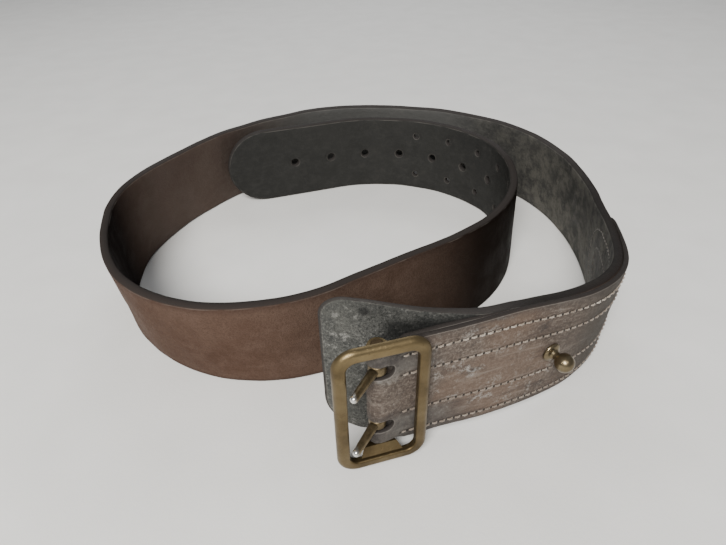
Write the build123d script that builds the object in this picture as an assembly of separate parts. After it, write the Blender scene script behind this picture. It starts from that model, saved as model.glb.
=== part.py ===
from build123d import *
import os
from math import ceil, cos, degrees, pi, radians, sin

os.makedirs("parts", exist_ok=True)

# A wide leather waist belt with a two-claw brass buckle and a ball stud, standing on its
# lower edge in a loose spiral. Millimetres, +Z up, origin under the middle of the whole
# object at its lowest point.
#
# Every place on the leather is given by three lengths:
#   station  mm along the strap from the buckle's pin towards the strap's tip
#   up       mm above the middle of the strap's width
#   out      mm out of the strap's grain face
# At the buckle the strap runs along +X and its grain face looks along -Y.

# ---- strap ----
STRAP_WIDTH = 50.0
STRAP_THICKNESS = 4.0
HALF_WIDTH = STRAP_WIDTH / 2
PIN_X = -31.8
PIN_Y = -124.5

# Route from the pin to the tip: (length, turn in degrees), each an arc tangent to the last.
ROUTE = (
    (35, 0), (45, 16), (45, 31), (105, 35), (105, 51), (75, 31), (45, 29), (125, 40),
    (125, 75), (85, 62), (55, 2), (125, 75), (20, 21), (110, 74), (75, 0),
)
TIP_STATION = sum(length for length, turn in ROUTE)

# Lean of the strap: (station, degrees its top edge leans outward).
LEANS = (
    (0, 0), (50, -2), (100, 4), (175, -7), (250, -8), (400, -13),
    (560, -6), (640, 1), (715, 11), (870, -3), (1020, -3), (1175, -2),
)
BUCKLE_LIFT = 8.0
LIFT_ENDS_FROM = 30.0
LIFT_ENDS_AT = 200.0
STATION_STEP = 18.0
FINE_STEP = 6.0
CUT_OUT = 3.5
TIP_CUT_OUT = 1.5
CUT_IN = 6.5

# ---- holes in the strap ----
STUD_HOLE_COUNT = 7
STUD_HOLE_PITCH = 25.4
STUD_HOLE_RADIUS = 2.3
FIRST_STUD_HOLE = 977.6
CLAW_HOLE_PAIRS = 6
CLAW_HOLE_RADIUS = 1.5
CLAW_SPREAD = 14.0

# ---- flared guard: the end of the strap behind the buckle ----
GUARD_END = -15.6
GUARD_THICKNESS = 1.4
GUARD_CURL_FROM = 44.0
GUARD_CURL_RADIUS = 110.0
GUARD_FLARE_FROM = 46.0
GUARD_FLARE_LENGTH = 52.0
GUARD_FLARE_TOP = 9.4
GUARD_FLARE_BOTTOM = 7.8
GUARD_TOP_CORNER = 9.0
GUARD_BOTTOM_CORNER = 16.0
GUARD_DEPTH = 25.0

# ---- chape: the leather that folds round the pin ----
CHAPE_THICKNESS = 2.2
CHAPE_END = 172.0
RETURN_THICKNESS = 2.1
RETURN_END_THICKNESS = 0.5
RETURN_TAPER_FROM = 22.0
RETURN_END = 50.0
GLUE_LINE = 0.1
FOLD_CLEARANCE = 0.15
FOLD_BLEND = 9.0
FOLD_TAIL = 1.0
THROAT_WIDTH = 0.04
RETURN_STEP = 4.0
LAYER_OVERLAP = 0.8
SLOT_WIDTH = 5.2
SLOT_END = 5.2
UPPER_EAR_HEIGHT = 22.2
LOWER_EAR_HEIGHT = 23.3
EAR_END = 5.6
SHOULDER_END = 9.4

# ---- stitching ----
# each row is a U: its radius, and the height of its middle above the strap's middle
OUTER_ROW = (20.0, -1.5)
INNER_ROW = (9.6, -0.2)
ROW_START = 8.0
STITCH_PITCH = 3.175
STITCH_LENGTH = 2.4
STITCH_WIDTH = 0.8
STITCH_THICKNESS = 0.6
STITCH_SUNK = 0.2

# ---- buckle ----
WINDOW_WIDTH = 25.1
WINDOW_HEIGHT = 51.5
BAND_WIDTH = 4.6
BAND_THICKNESS = 3.0
FRAME_OUT = 6.0
FRAME_UP = -0.5
FRAME_OUTER_CORNER = 7.8
FRAME_INNER_CORNER = 3.6
FRAME_CROWN = 2.2
FRAME_INNER_EDGE = 0.8
FRAME_BACK_EDGE = 0.6
LUG_GAP = 0.4
LUG_THICKNESS = 1.9
LUG_ROOT_LOW = 26.4
LUG_ROOT_HIGH = 28.8
LUG_ROOT_WIDTH = 16.0
LUG_ROOT_DEPTH = 0.5
LUG_TIP_RADIUS = 3.4
PIN_RADIUS = 1.6
PIN_RUNNING_FIT = 0.05
PIN_HEAD_RADIUS = 2.3
PIN_HEAD_HEIGHT = 0.6

# ---- claws ----
CLAW_EYE_RADIUS = 3.3
CLAW_EYE_WIDTH = 4.4
CLAW_EYE_ROUND = 0.9
CLAW_ROOT_RADIUS = 1.9
CLAW_TIP_RADIUS = 1.4
CLAW_LENGTH = 17.4
CLAW_ANGLE = 45.0

# ---- ball stud ----
STUD_STATION = 70.5
STUD_SHANK_RADIUS = 2.3
STUD_FOOT_RADIUS = 4.0
STUD_FOOT_HEIGHT = 1.7
STUD_NECK_RADIUS = 1.7
STUD_BALL_RADIUS = 3.8
STUD_BALL_OUT = 9.4
SCREW_RADIUS = 1.4
SCREW_HEAD_RADIUS = 3.6
SCREW_HEAD_HEIGHT = 1.5
SCREW_SLOT = 0.9
WASHER_RADIUS = 5.0
WASHER_THICKNESS = 0.8
LEATHER_HOLE_GAP = 0.1
STUD_SEAT_GAP = 0.25
WASHER_SEAT_GAP = 0.5


# ---------------------------------------------------------------- the strap's geometry
def ease(t):
    """0 to 1 with level ends."""
    t = min(max(t, 0.0), 1.0)
    return t * t * (3 - 2 * t)


def route(station):
    """Plan position and heading (radians) at a station."""
    x, y, heading = PIN_X, PIN_Y, 0.0
    if station < 0:
        return x + station, y, heading
    left = station
    for length, turn in ROUTE:
        step = min(left, length)
        half_turn = radians(turn) * step / length / 2
        chord = step * sin(half_turn) / half_turn if half_turn else step
        x += chord * cos(heading + half_turn)
        y += chord * sin(heading + half_turn)
        heading += 2 * half_turn
        left -= step
        if left <= 0:
            break
    return x, y, heading


def lean(station):
    """Outward lean of the strap's top edge, in radians."""
    if station <= LEANS[0][0]:
        return radians(LEANS[0][1])
    for (near, near_lean), (far, far_lean) in zip(LEANS, LEANS[1:]):
        if station <= far:
            share = ease((station - near) / (far - near))
            return radians(near_lean + (far_lean - near_lean) * share)
    return radians(LEANS[-1][1])


def base_height(station):
    """Height of the grain face's lower edge; the lowest corner rests on the ground."""
    raised = BUCKLE_LIFT * (1 - ease((station - LIFT_ENDS_FROM) / (LIFT_ENDS_AT - LIFT_ENDS_FROM)))
    return raised + STRAP_THICKNESS * sin(max(0.0, -lean(station)))


def directions(station):
    """Tangent, up and out directions of the strap at a station."""
    heading, tilt = route(station)[2], lean(station)
    tangent = Vector(cos(heading), sin(heading), 0)
    level_out = Vector(sin(heading), -cos(heading), 0)
    up = Vector(0, 0, 1) * cos(tilt) + level_out * sin(tilt)
    out = level_out * cos(tilt) - Vector(0, 0, 1) * sin(tilt)
    return tangent, up, out


def place(station, up, out):
    """The point that lies up and out from the strap's grain face at a station."""
    x, y, _ = route(station)
    _, up_direction, out_direction = directions(station)
    base = Vector(x, y, base_height(station))
    return base + up_direction * (HALF_WIDTH + up) + out_direction * out


def face_plane(station, up=0.0, out=0.0):
    """Plane on the leather: x along the strap, y up, z out of the grain face."""
    tangent, _, out_direction = directions(station)
    return Plane(origin=place(station, up, out), x_dir=tangent, z_dir=out_direction)


def section(station, bottom, top, inner, outer):
    """Rectangle across the strap, from bottom to top and from inner to outer."""
    tangent, up_direction, _ = directions(station)
    plane = Plane(origin=place(station, 0, 0), x_dir=up_direction, z_dir=tangent)
    centre = Pos((bottom + top) / 2, (inner + outer) / 2)
    return plane * centre * Rectangle(top - bottom, outer - inner)


def stations(start, end, step=STATION_STEP):
    """Even stations from start to end, at most a step apart."""
    count = ceil((end - start) / step)
    return [start + (end - start) * i / count for i in range(count + 1)]


def half_round_cutter(end_station, out):
    """Solid that leaves a half-round end, as wide as the strap, on a layer of leather."""
    beyond = HALF_WIDTH + 1.0
    outline = Pos(beyond / 2, 0) * Rectangle(beyond, 3 * HALF_WIDTH) - Circle(HALF_WIDTH)
    plane = face_plane(end_station - HALF_WIDTH, 0, out)
    return extrude(plane * outline, amount=-out - CUT_IN)


def through_hole(station, up, radius):
    """Round cutter through all the leather at a place on the strap."""
    plane = face_plane(station, up, CUT_OUT)
    return extrude(plane * Circle(radius), amount=-CUT_OUT - CUT_IN)


# ---------------------------------------------------------------- strap
def return_thickness(station):
    """The chape's inner layer, skived thin towards its end."""
    share = ease((station - RETURN_TAPER_FROM) / (RETURN_END - RETURN_TAPER_FROM))
    return RETURN_THICKNESS + (RETURN_END_THICKNESS - RETURN_THICKNESS) * share


def setback(station):
    """How far the strap's grain face stands back from the route's face."""
    layer = return_thickness(station) * (1 - ease((station - RETURN_END) / FOLD_BLEND))
    curl = max(0.0, GUARD_CURL_FROM - station) ** 2 / (2 * GUARD_CURL_RADIUS)
    return GLUE_LINE + layer + curl


def strap_section(station):
    flare = ease((GUARD_FLARE_FROM - station) / GUARD_FLARE_LENGTH)
    thickness = STRAP_THICKNESS + (GUARD_THICKNESS - STRAP_THICKNESS) * flare
    outer = -setback(station)
    bottom = -HALF_WIDTH - GUARD_FLARE_BOTTOM * flare
    top = HALF_WIDTH + GUARD_FLARE_TOP * flare
    return section(station, bottom, top, outer - thickness, outer)


def corner_cutter(up, radius, side):
    """Rounds the guard's corner at a height; side is +1 for the top corner, -1 below."""
    square = Pos(-radius, side * radius) * Rectangle(2 * radius, 2 * radius)
    outline = square - Circle(radius)
    plane = face_plane(0) * Pos(GUARD_END + radius, up - side * radius)
    return extrude(plane * outline, amount=-GUARD_DEPTH)


def make_strap():
    under_chape = stations(GUARD_END, CHAPE_END, FINE_STEP)
    beyond = stations(CHAPE_END, TIP_STATION)[1:]
    strap = loft([strap_section(station) for station in under_chape + beyond])
    strap -= half_round_cutter(TIP_STATION, TIP_CUT_OUT)
    strap -= corner_cutter(HALF_WIDTH + GUARD_FLARE_TOP, GUARD_TOP_CORNER, 1)
    strap -= corner_cutter(-HALF_WIDTH - GUARD_FLARE_BOTTOM, GUARD_BOTTOM_CORNER, -1)
    for hole in range(STUD_HOLE_COUNT):
        strap -= through_hole(stud_hole_station(hole), 0, STUD_HOLE_RADIUS)
    for pair in range(CLAW_HOLE_PAIRS):
        station = FIRST_STUD_HOLE + STUD_HOLE_PITCH * (pair - CLAW_HOLE_PAIRS / 2 + 0.5)
        for side in (-1, 1):
            strap -= through_hole(station, side * CLAW_SPREAD, CLAW_HOLE_RADIUS)
    return strap - through_hole(STUD_STATION, 0, STUD_SHANK_RADIUS + LEATHER_HOLE_GAP)


def stud_hole_station(hole):
    return FIRST_STUD_HOLE + STUD_HOLE_PITCH * hole


# ---------------------------------------------------------------- chape
def pin_plane(height=0.0):
    """Level plane through the pin: x along the strap, y towards its flesh side."""
    return Plane(origin=(PIN_X, PIN_Y, BUCKLE_LIFT + HALF_WIDTH + height))


def make_fold():
    """The fold round the pin, tear-drop shaped in plan, out to the straight part's end."""
    inner_radius = PIN_RADIUS + FOLD_CLEARANCE
    outer_radius = inner_radius + CHAPE_THICKNESS
    front, back = -CHAPE_THICKNESS, RETURN_THICKNESS
    tail_middle = FOLD_BLEND + FOLD_TAIL / 2
    tail = Pos(tail_middle, (front + back) / 2) * Rectangle(FOLD_TAIL, back - front)
    outline = make_hull(Circle(outer_radius).edges() + tail.edges())
    throat = Pos(FOLD_BLEND - FOLD_TAIL / 2, 0) * Rectangle(THROAT_WIDTH, THROAT_WIDTH)
    hollow = make_hull(Circle(inner_radius).edges() + throat.edges())
    profile = outline - hollow
    return extrude(pin_plane() * profile, amount=HALF_WIDTH, both=True)


def chape_strip(start, end, inner, outer, step=STATION_STEP):
    """A layer of the chape; inner and outer are functions of the station."""
    return loft([
        section(station, -HALF_WIDTH, HALF_WIDTH, inner(station), outer(station))
        for station in stations(start, end, step)
    ])


def ear_height(side):
    """Half width of the chape between the lugs; side is +1 above, -1 below."""
    return UPPER_EAR_HEIGHT if side > 0 else LOWER_EAR_HEIGHT


def shoulder_cutter(side):
    """Narrows the chape to fit between the lugs."""
    ear, beyond = side * ear_height(side), side * (HALF_WIDTH + 1.0)
    start = -2 * FOLD_BLEND
    outline = make_face([
        Line((start, ear), (EAR_END, ear)),
        Spline((EAR_END, ear), (SHOULDER_END, beyond), tangents=((1, 0), (1, side * 1.5))),
        Line((SHOULDER_END, beyond), (start, beyond)),
        Line((start, beyond), (start, ear)),
    ])
    return extrude(face_plane(0) * outline, amount=FOLD_BLEND, both=True)


def make_chape():
    layers_start = FOLD_BLEND + FOLD_TAIL
    front = chape_strip(layers_start, CHAPE_END, lambda s: 0.0, lambda s: CHAPE_THICKNESS,
                        FINE_STEP)
    front -= half_round_cutter(CHAPE_END, CUT_OUT)
    back = chape_strip(layers_start, RETURN_END, lambda s: -return_thickness(s),
                       lambda s: LAYER_OVERLAP, RETURN_STEP)
    fold = make_fold()
    for side in (-1, 1):
        fold -= shoulder_cutter(side)
    chape = fold + front + back
    slot_start = -2 * FOLD_BLEND
    slot_round = SLOT_WIDTH / 2
    for side in (-1, 1):
        straight = Pos((slot_start + SLOT_END - slot_round) / 2, 0)
        slot = straight * Rectangle(SLOT_END - slot_round - slot_start, SLOT_WIDTH)
        slot += Pos(SLOT_END - slot_round, 0) * Circle(slot_round)
        chape -= extrude(face_plane(0, side * CLAW_SPREAD) * slot, amount=FOLD_BLEND, both=True)
    return chape - through_hole(STUD_STATION, 0, STUD_SHANK_RADIUS + LEATHER_HOLE_GAP)


# ---------------------------------------------------------------- stitching
def stitch_places(radius, middle):
    """(station, up, angle) of each stitch of a U: two rows joined by a half circle."""
    centre = CHAPE_END - HALF_WIDTH
    straight = centre - ROW_START
    total = 2 * straight + pi * radius
    count = round(total / STITCH_PITCH)
    places = []
    for i in range(count):
        run = total * (i + 0.5) / count
        if run < straight:
            places.append((ROW_START + run, middle + radius, 0.0))
        elif run < straight + pi * radius:
            turned = (run - straight) / radius
            up = middle + radius * cos(turned)
            places.append((centre + radius * sin(turned), up, -degrees(turned)))
        else:
            places.append((ROW_START + total - run, middle - radius, 0.0))
    return places


def make_stitching(radius, middle):
    """A row of thread, as one small rounded bar for each visible stitch."""
    outline = SlotOverall(STITCH_LENGTH, STITCH_WIDTH)
    stitches = []
    for station, up, angle in stitch_places(radius, middle):
        plane = face_plane(station, up, CHAPE_THICKNESS - STITCH_SUNK)
        stitches.append(extrude(plane * Rot(0, 0, angle) * outline, amount=STITCH_THICKNESS))
    return Compound(children=stitches)


# ---------------------------------------------------------------- buckle
def lug_heights(side):
    """Inner and outer height of a lug at the pin, above or below the pin's middle."""
    inner = ear_height(side) + LUG_GAP
    return side * inner, side * (inner + LUG_THICKNESS)


def make_lug(side):
    """Ear that reaches from the back of the top or bottom bar to the pin."""
    root = Pos(0, -FRAME_OUT) * Rectangle(LUG_ROOT_WIDTH, LUG_ROOT_DEPTH)
    plan = make_hull(Circle(LUG_TIP_RADIUS).edges() + root.edges()) - Circle(PIN_RADIUS)
    ear = extrude(pin_plane() * plan, amount=side * LUG_ROOT_HIGH)
    # seen from the side: x out of the leather, y up
    side_plane = Plane(origin=pin_plane().origin, x_dir=(0, -1, 0), z_dir=(-1, 0, 0))
    inner, outer = lug_heights(side)
    profile = make_face(Polyline(
        (-LUG_TIP_RADIUS, inner), (LUG_TIP_RADIUS, inner),
        (FRAME_OUT, side * LUG_ROOT_LOW), (FRAME_OUT, side * LUG_ROOT_HIGH),
        (LUG_TIP_RADIUS, outer), (-LUG_TIP_RADIUS, outer), close=True))
    return ear & extrude(side_plane * profile, amount=LUG_ROOT_WIDTH, both=True)


def make_frame():
    """Cast frame: a rounded rectangle in front of the leather, with two lugs for the pin."""
    outline = RectangleRounded(WINDOW_WIDTH + 2 * BAND_WIDTH, WINDOW_HEIGHT + 2 * BAND_WIDTH,
                               FRAME_OUTER_CORNER)
    window = RectangleRounded(WINDOW_WIDTH, WINDOW_HEIGHT, FRAME_INNER_CORNER)
    middle = face_plane(0, FRAME_UP, FRAME_OUT)
    frame = extrude(middle * (outline - window), amount=BAND_THICKNESS / 2, both=True)
    front = frame.faces().sort_by(Axis.Y)[0]
    frame = fillet(front.outer_wire().edges(), FRAME_CROWN)
    front = frame.faces().sort_by(Axis.Y)[0]
    frame = fillet(front.inner_wires().edges(), FRAME_INNER_EDGE)
    back = frame.faces().sort_by(Axis.Y)[-1]
    frame = fillet(back.edges(), FRAME_BACK_EDGE)
    for side in (-1, 1):
        frame += make_lug(side)
    return frame


def make_pin():
    """Pin along the fold, peened over outside each lug."""
    low, high = lug_heights(-1)[1], lug_heights(1)[1]
    pin = extrude(pin_plane(low) * Circle(PIN_RADIUS), amount=high - low)
    for side, end in ((-1, low), (1, high)):
        head = extrude(pin_plane(end) * Circle(PIN_HEAD_RADIUS), amount=side * PIN_HEAD_HEIGHT)
        rim = head.edges().sort_by(Axis.Z)[-1 if side > 0 else 0]
        pin += fillet(rim, PIN_HEAD_HEIGHT * 0.7)
    return pin


def make_claw(side):
    """A rolled eye on the pin and a round, tapering prong that points outward."""
    # the prong points to -X and out of the grain face (-Y)
    level = Plane(pin_plane(side * CLAW_SPREAD) * Rot(0, 0, CLAW_ANGLE))
    eye = extrude(level * Circle(CLAW_EYE_RADIUS), amount=CLAW_EYE_WIDTH / 2, both=True)
    eye = fillet(eye.edges().filter_by(GeomType.CIRCLE), CLAW_EYE_ROUND)
    tip_start = -CLAW_LENGTH + CLAW_TIP_RADIUS
    tip_middle = CLAW_TIP_RADIUS * sin(pi / 4)
    half_prong = make_face([
        Line((0, 0), (0, CLAW_ROOT_RADIUS)),
        Line((0, CLAW_ROOT_RADIUS), (tip_start, CLAW_TIP_RADIUS)),
        ThreePointArc((tip_start, CLAW_TIP_RADIUS), (tip_start - tip_middle, tip_middle),
                      (-CLAW_LENGTH, 0)),
        Line((-CLAW_LENGTH, 0), (0, 0)),
    ])
    prong = revolve(level * half_prong, Axis(level.origin, level.x_dir))
    pin_hole = extrude(level * Circle(PIN_RADIUS + PIN_RUNNING_FIT), amount=CLAW_EYE_WIDTH,
                       both=True)
    return eye + prong - pin_hole


# ---------------------------------------------------------------- ball stud
def stud_axis_plane():
    """Plane with its x along the stud's radius and its y along the stud's axis."""
    tangent, _, out_direction = directions(STUD_STATION)
    return Plane(origin=place(STUD_STATION, 0, 0), x_dir=tangent,
                 z_dir=tangent.cross(out_direction))


def turned(outline):
    """Revolves an outline, given as (radius, out), round the stud's axis."""
    plane = stud_axis_plane()
    axis = Axis(plane.origin, plane.y_dir)
    return revolve(plane * make_face(outline), axis)


def make_stud():
    """Shank, domed foot, neck and ball in one turned piece, tapped for the screw."""
    foot = CHAPE_THICKNESS + STUD_SEAT_GAP
    foot_top = foot + STUD_FOOT_HEIGHT
    ball_low = STUD_BALL_OUT - (STUD_BALL_RADIUS ** 2 - STUD_NECK_RADIUS ** 2) ** 0.5
    shank_low = -STRAP_THICKNESS
    outline = [
        Line((SCREW_RADIUS, shank_low), (STUD_SHANK_RADIUS, shank_low)),
        Line((STUD_SHANK_RADIUS, shank_low), (STUD_SHANK_RADIUS, foot)),
        Line((STUD_SHANK_RADIUS, foot), (STUD_FOOT_RADIUS, foot)),
        Line((STUD_FOOT_RADIUS, foot), (STUD_FOOT_RADIUS, foot + 0.5)),
        Spline((STUD_FOOT_RADIUS, foot + 0.5), (STUD_NECK_RADIUS + 0.6, foot_top),
               tangents=((-0.4, 1), (-1, 0.5))),
        Line((STUD_NECK_RADIUS + 0.6, foot_top), (STUD_NECK_RADIUS, foot_top + 0.8)),
        Line((STUD_NECK_RADIUS, foot_top + 0.8), (STUD_NECK_RADIUS, ball_low)),
        ThreePointArc((STUD_NECK_RADIUS, ball_low), (STUD_BALL_RADIUS, STUD_BALL_OUT),
                      (0, STUD_BALL_OUT + STUD_BALL_RADIUS)),
        Line((0, STUD_BALL_OUT + STUD_BALL_RADIUS), (0, foot)),
        Line((0, foot), (SCREW_RADIUS, foot)),
        Line((SCREW_RADIUS, foot), (SCREW_RADIUS, shank_low)),
    ]
    return turned(outline)


def washer_face():
    """How far out the washer's leather side lies; negative is towards the flesh side."""
    return -STRAP_THICKNESS - GLUE_LINE - WASHER_SEAT_GAP


def make_washer():
    low, high = washer_face() - WASHER_THICKNESS, washer_face()
    plane = face_plane(STUD_STATION, 0, low)
    return extrude(plane * (Circle(WASHER_RADIUS) - Circle(SCREW_RADIUS + 0.1)), amount=high - low)


def make_screw():
    """Slotted screw from the flesh side, its shank inside the stud."""
    under_head = washer_face() - WASHER_THICKNESS
    plane = face_plane(STUD_STATION, 0, under_head)
    screw = extrude(plane * Circle(SCREW_RADIUS), amount=CHAPE_THICKNESS - under_head - 0.5)
    head = extrude(plane * Circle(SCREW_HEAD_RADIUS), amount=-SCREW_HEAD_HEIGHT)
    slot = Rectangle(3 * SCREW_HEAD_RADIUS, SCREW_SLOT)
    bottom = face_plane(STUD_STATION, 0, under_head - SCREW_HEAD_HEIGHT)
    head -= extrude(bottom * slot, amount=SCREW_HEAD_HEIGHT / 2)
    return screw + head


# ---------------------------------------------------------------- write the parts
def main():
    nodes = {
        "strap": make_strap(),
        "chape": make_chape(),
        "outer_stitching": make_stitching(*OUTER_ROW),
        "inner_stitching": make_stitching(*INNER_ROW),
        "buckle_frame": make_frame(),
        "centre_pin": make_pin(),
        "upper_claw": make_claw(1),
        "lower_claw": make_claw(-1),
        "ball_stud": make_stud(),
        "stud_washer": make_washer(),
        "stud_screw": make_screw(),
    }
    for name, shape in nodes.items():
        export_step(shape, f"parts/{name}.step")
    whole = Compound(children=list(nodes.values())).bounding_box()
    print("box", whole.min, whole.max, "centre", whole.center())


main()
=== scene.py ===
from math import ceil, cos, hypot, pi, radians, sin

import bpy
import bmesh
import numpy as np
from mathutils import Euler, Matrix, Vector, noise
from mathutils.geometry import delaunay_2d_cdt


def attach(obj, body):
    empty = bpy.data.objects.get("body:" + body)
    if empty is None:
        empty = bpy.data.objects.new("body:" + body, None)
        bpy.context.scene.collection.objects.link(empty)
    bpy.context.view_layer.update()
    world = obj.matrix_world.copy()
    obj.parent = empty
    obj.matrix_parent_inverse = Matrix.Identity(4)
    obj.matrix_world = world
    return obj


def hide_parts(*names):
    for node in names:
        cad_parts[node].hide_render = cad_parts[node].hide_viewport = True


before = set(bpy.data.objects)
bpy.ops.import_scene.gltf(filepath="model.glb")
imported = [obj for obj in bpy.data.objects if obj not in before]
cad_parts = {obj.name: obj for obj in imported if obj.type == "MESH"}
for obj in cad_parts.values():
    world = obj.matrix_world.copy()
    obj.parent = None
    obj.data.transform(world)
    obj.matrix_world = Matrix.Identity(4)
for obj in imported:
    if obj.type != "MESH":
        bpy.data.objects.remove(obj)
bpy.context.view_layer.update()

# A worn leather waist belt, standing on its lower edge in a loose spiral.
# Places on the leather are given in millimetres, as in the CAD model:
#   station  along the strap from the buckle's pin
#   up       above the middle of the strap's width
#   out      out of the strap's grain face
MM = 0.001

# ---- spacing of points along outlines ----
EDGE_STEP = 2.5
ROUND_END_STEP = 2.0
TOP_CORNER_STEP = 1.2
BOTTOM_CORNER_STEP = 1.6
CHAPE_EDGE_STEP = 1.6
SLOT_STEP = 1.5
SLOT_END_STEP = 0.8

# ---- strap ----
HALF_WIDTH = 25.0
STRAP_THICKNESS = 4.0
PIN_X = -31.8
PIN_Y = -124.5
ROUTE = (    # (length, turn to the left in degrees)
    (35, 0), (45, 16), (45, 31), (105, 35), (105, 51), (75, 31), (45, 29), (125, 40),
    (125, 75), (85, 62), (55, 2), (125, 75), (20, 21), (110, 74), (75, 0),
)
TIP_STATION = sum(length for length, turn in ROUTE)
LEANS = (    # (station, outward lean in degrees)
    (0, 0), (50, -2), (100, 4), (175, -7), (250, -8), (400, -13),
    (560, -6), (640, 1), (715, 11), (870, -3), (1020, -3), (1175, -2),
)
BUCKLE_LIFT = 8.0
LIFT_ENDS_FROM = 30.0
LIFT_ENDS_AT = 200.0
STRAP_RIM = 1.1
STRAP_SPACING = 3.0
STRAP_WAVES = ((22.0, 0.35, 1.0), (7.0, 0.12, 5.0))    # (size, height, seed)
STRAP_EDGE_WAVE = (30.0, 0.5, 9.0)

# ---- holes ----
STUD_HOLE_COUNT = 7
STUD_HOLE_PITCH = 25.4
STUD_HOLE_RADIUS = 2.3
FIRST_STUD_HOLE = 977.6
CLAW_HOLE_PAIRS = 6
CLAW_HOLE_RADIUS = 1.5
CLAW_SPREAD = 14.0
HOLE_SIDES = 22
RAISED_RIM_WIDTH = 3.0
RAISED_RIM_HEIGHT = 0.7

# ---- guard ----
GUARD_END = -15.6
GUARD_THICKNESS = 1.4
GUARD_CURL_FROM = 44.0
GUARD_CURL_RADIUS = 110.0
GUARD_FLARE_FROM = 46.0
GUARD_FLARE_LENGTH = 52.0
GUARD_FLARE_TOP = 9.4
GUARD_FLARE_BOTTOM = 7.8
GUARD_TOP_CORNER = 9.0
GUARD_BOTTOM_CORNER = 16.0
BOTTOM_CORNER_ENDS = 262    # degrees; the flared lower edge goes on from there
GUARD_MARK_PLACE = (-0.0011, 0.0295)    # (station, up) in metres

# ---- chape ----
CHAPE_THICKNESS = 2.2
CHAPE_END = 172.0
FOLD_RADIUS = 2.85
FOLD_BLEND = 11.0
RETURN_THICKNESS = 2.1
RETURN_END_THICKNESS = 0.5
RETURN_TAPER_FROM = 22.0
RETURN_END = 50.0
RETURN_BLEND = 9.0
GLUE_LINE = 0.1
SLOT_WIDTH = 5.2
SLOT_END = 5.2
UPPER_EAR_HEIGHT = 22.2
LOWER_EAR_HEIGHT = 23.3
EAR_END = 6.6    # this and the next are past the CAD model's, to clear the lugs at the limit
SHOULDER_END = 9.8
BEVEL_WIDTH = 4.0
BEVEL_DEPTH = 1.1
BEVEL_FROM = 118.0
BEVEL_BLEND = 30.0
CHAPE_RIM = 0.7
CHAPE_SPACING = 2.4
CHAPE_PLAY = 0.1    # the visible layers are this much thinner
CHAPE_WAVES = ((16.0, 0.22, 3.0), (5.0, 0.08, 6.0))    # (size, height, seed)
CHAPE_EDGE_WAVE = (24.0, 0.5, 4.0)
CHAPE_WAVE_BLEND = 8.0
CHAPE_EDGE_WAVE_BLEND = 12.0

# ---- stitching ----
STITCH_ROWS = ((20.0, -1.5), (9.6, -0.2))    # (radius of the U, height of its middle)
ROW_START = 8.0
STITCH_PITCH = 3.175
STITCH_LENGTH = 2.4
STITCH_STEPS = 9
JITTER_STEP = 0.7
JITTER_SEED = 2.0
LENGTH_JITTER = 0.14
SLANT = 0.10    # radians
SLANT_JITTER = 0.10
SUNK_JITTER = 0.10
FLESH_SIDE_SUNK = 0.22
ARCH_HEIGHT = 0.22
ARCH_DROP = 0.80    # how far a stitch's ends go down into the leather
ARCH_SHARPNESS = 3.2
PLY_RADIUS = 0.24
PLY_TWIST = 1.7
PLY_SIDES = 7
PLY_ACROSS = 0.85    # the plies' spiral, as shares of their radius
PLY_LIFT = 0.70

# ---- camera, in millimetres and degrees ----
CAMERA_PLACE = (-69.89, -246.74, 180.39)
CAMERA_DOWN = 36.196
CAMERA_TURN = -15.502
CAMERA_ROLL = -1.394
CAMERA_LENS = 26.62
CAMERA_SENSOR = 36.0
CAMERA_NEAREST = 0.005    # metres

# ---- stage, in metres and watts ----
FLOOR_HALF_SIZE = 4.0
FLOOR_HEIGHT = -0.0001
SKY_COLOUR = (0.93, 0.95, 1.0)
SKY_STRENGTH = 0.27
LIGHT_TARGET = (0, 0, 0.03)
AREA_LIGHTS = (
    # name, place, size, power, colour
    ("window", (-0.50, -0.90, 1.00), 0.6, 30.0, (1.0, 0.985, 0.96)),
    ("fill", (0.30, 0.90, 0.90), 0.8, 4.0, (0.95, 0.97, 1.0)),
)

# ---- colours, as linear red, green and blue ----
BROWNS = ((0.056, 0.034, 0.025), (0.090, 0.058, 0.043), (0.121, 0.083, 0.064))
BROWN_MOTTLE = (0.127, 0.086, 0.066)
BROWN_STREAK = (0.151, 0.105, 0.081)
BROWN_SPECK = (0.038, 0.023, 0.017)
BROWN_EDGE = (0.027, 0.018, 0.015)
RED_BROWN = (0.075, 0.035, 0.022)
BILLET_PAINTED_SHADE = (0.006, 0.004, 0.003)
GUARD_DARK = (0.038, 0.039, 0.037)
GUARD_PALE = (0.083, 0.083, 0.076)
GUARD_FLECK = (0.185, 0.182, 0.165)
GUARD_CHALK = (0.40, 0.39, 0.36)
GUARD_PIT = (0.014, 0.014, 0.013)
GUARD_TOP_PAINTED_SHADE = (0.020, 0.020, 0.019)
GUARD_RUBBED = (0.150, 0.150, 0.128)
GUARD_MARK = (0.010, 0.010, 0.010)
CORNER_PAINTED_SHADE = (0.007, 0.007, 0.007)
SOOTS = ((0.026, 0.025, 0.024), (0.042, 0.041, 0.038), (0.070, 0.067, 0.061))
SOOT_MOTTLE = (0.092, 0.088, 0.080)
SOOT_FIBRE = (0.100, 0.095, 0.086)
FLESH_DUST = (0.175, 0.165, 0.138)
FLESH_PALE = (0.122, 0.121, 0.115)
FLESH_BROWN = (0.088, 0.057, 0.043)
FLESH_PAINTED_SHADE = (0.005, 0.003, 0.003)
FLESH_BILLET = (0.012, 0.012, 0.011)
EDGE_BROWN = (0.030, 0.026, 0.024)
EDGE_BY_CHAPE = (0.011, 0.009, 0.008)
EDGE_ARRIS_AND_HIGHLIGHT = (0.22, 0.20, 0.175)
TAUPES = ((0.062, 0.044, 0.034), (0.098, 0.074, 0.058), (0.131, 0.104, 0.086))
TAUPE_MOTTLE = (0.042, 0.031, 0.026)
TAUPE_CREASE = (0.048, 0.035, 0.028)
TAUPE_FLECK = (0.236, 0.205, 0.176)
TAUPE_SPECK = (0.034, 0.026, 0.021)
TAUPE_WARM = (0.122, 0.079, 0.054)
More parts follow.
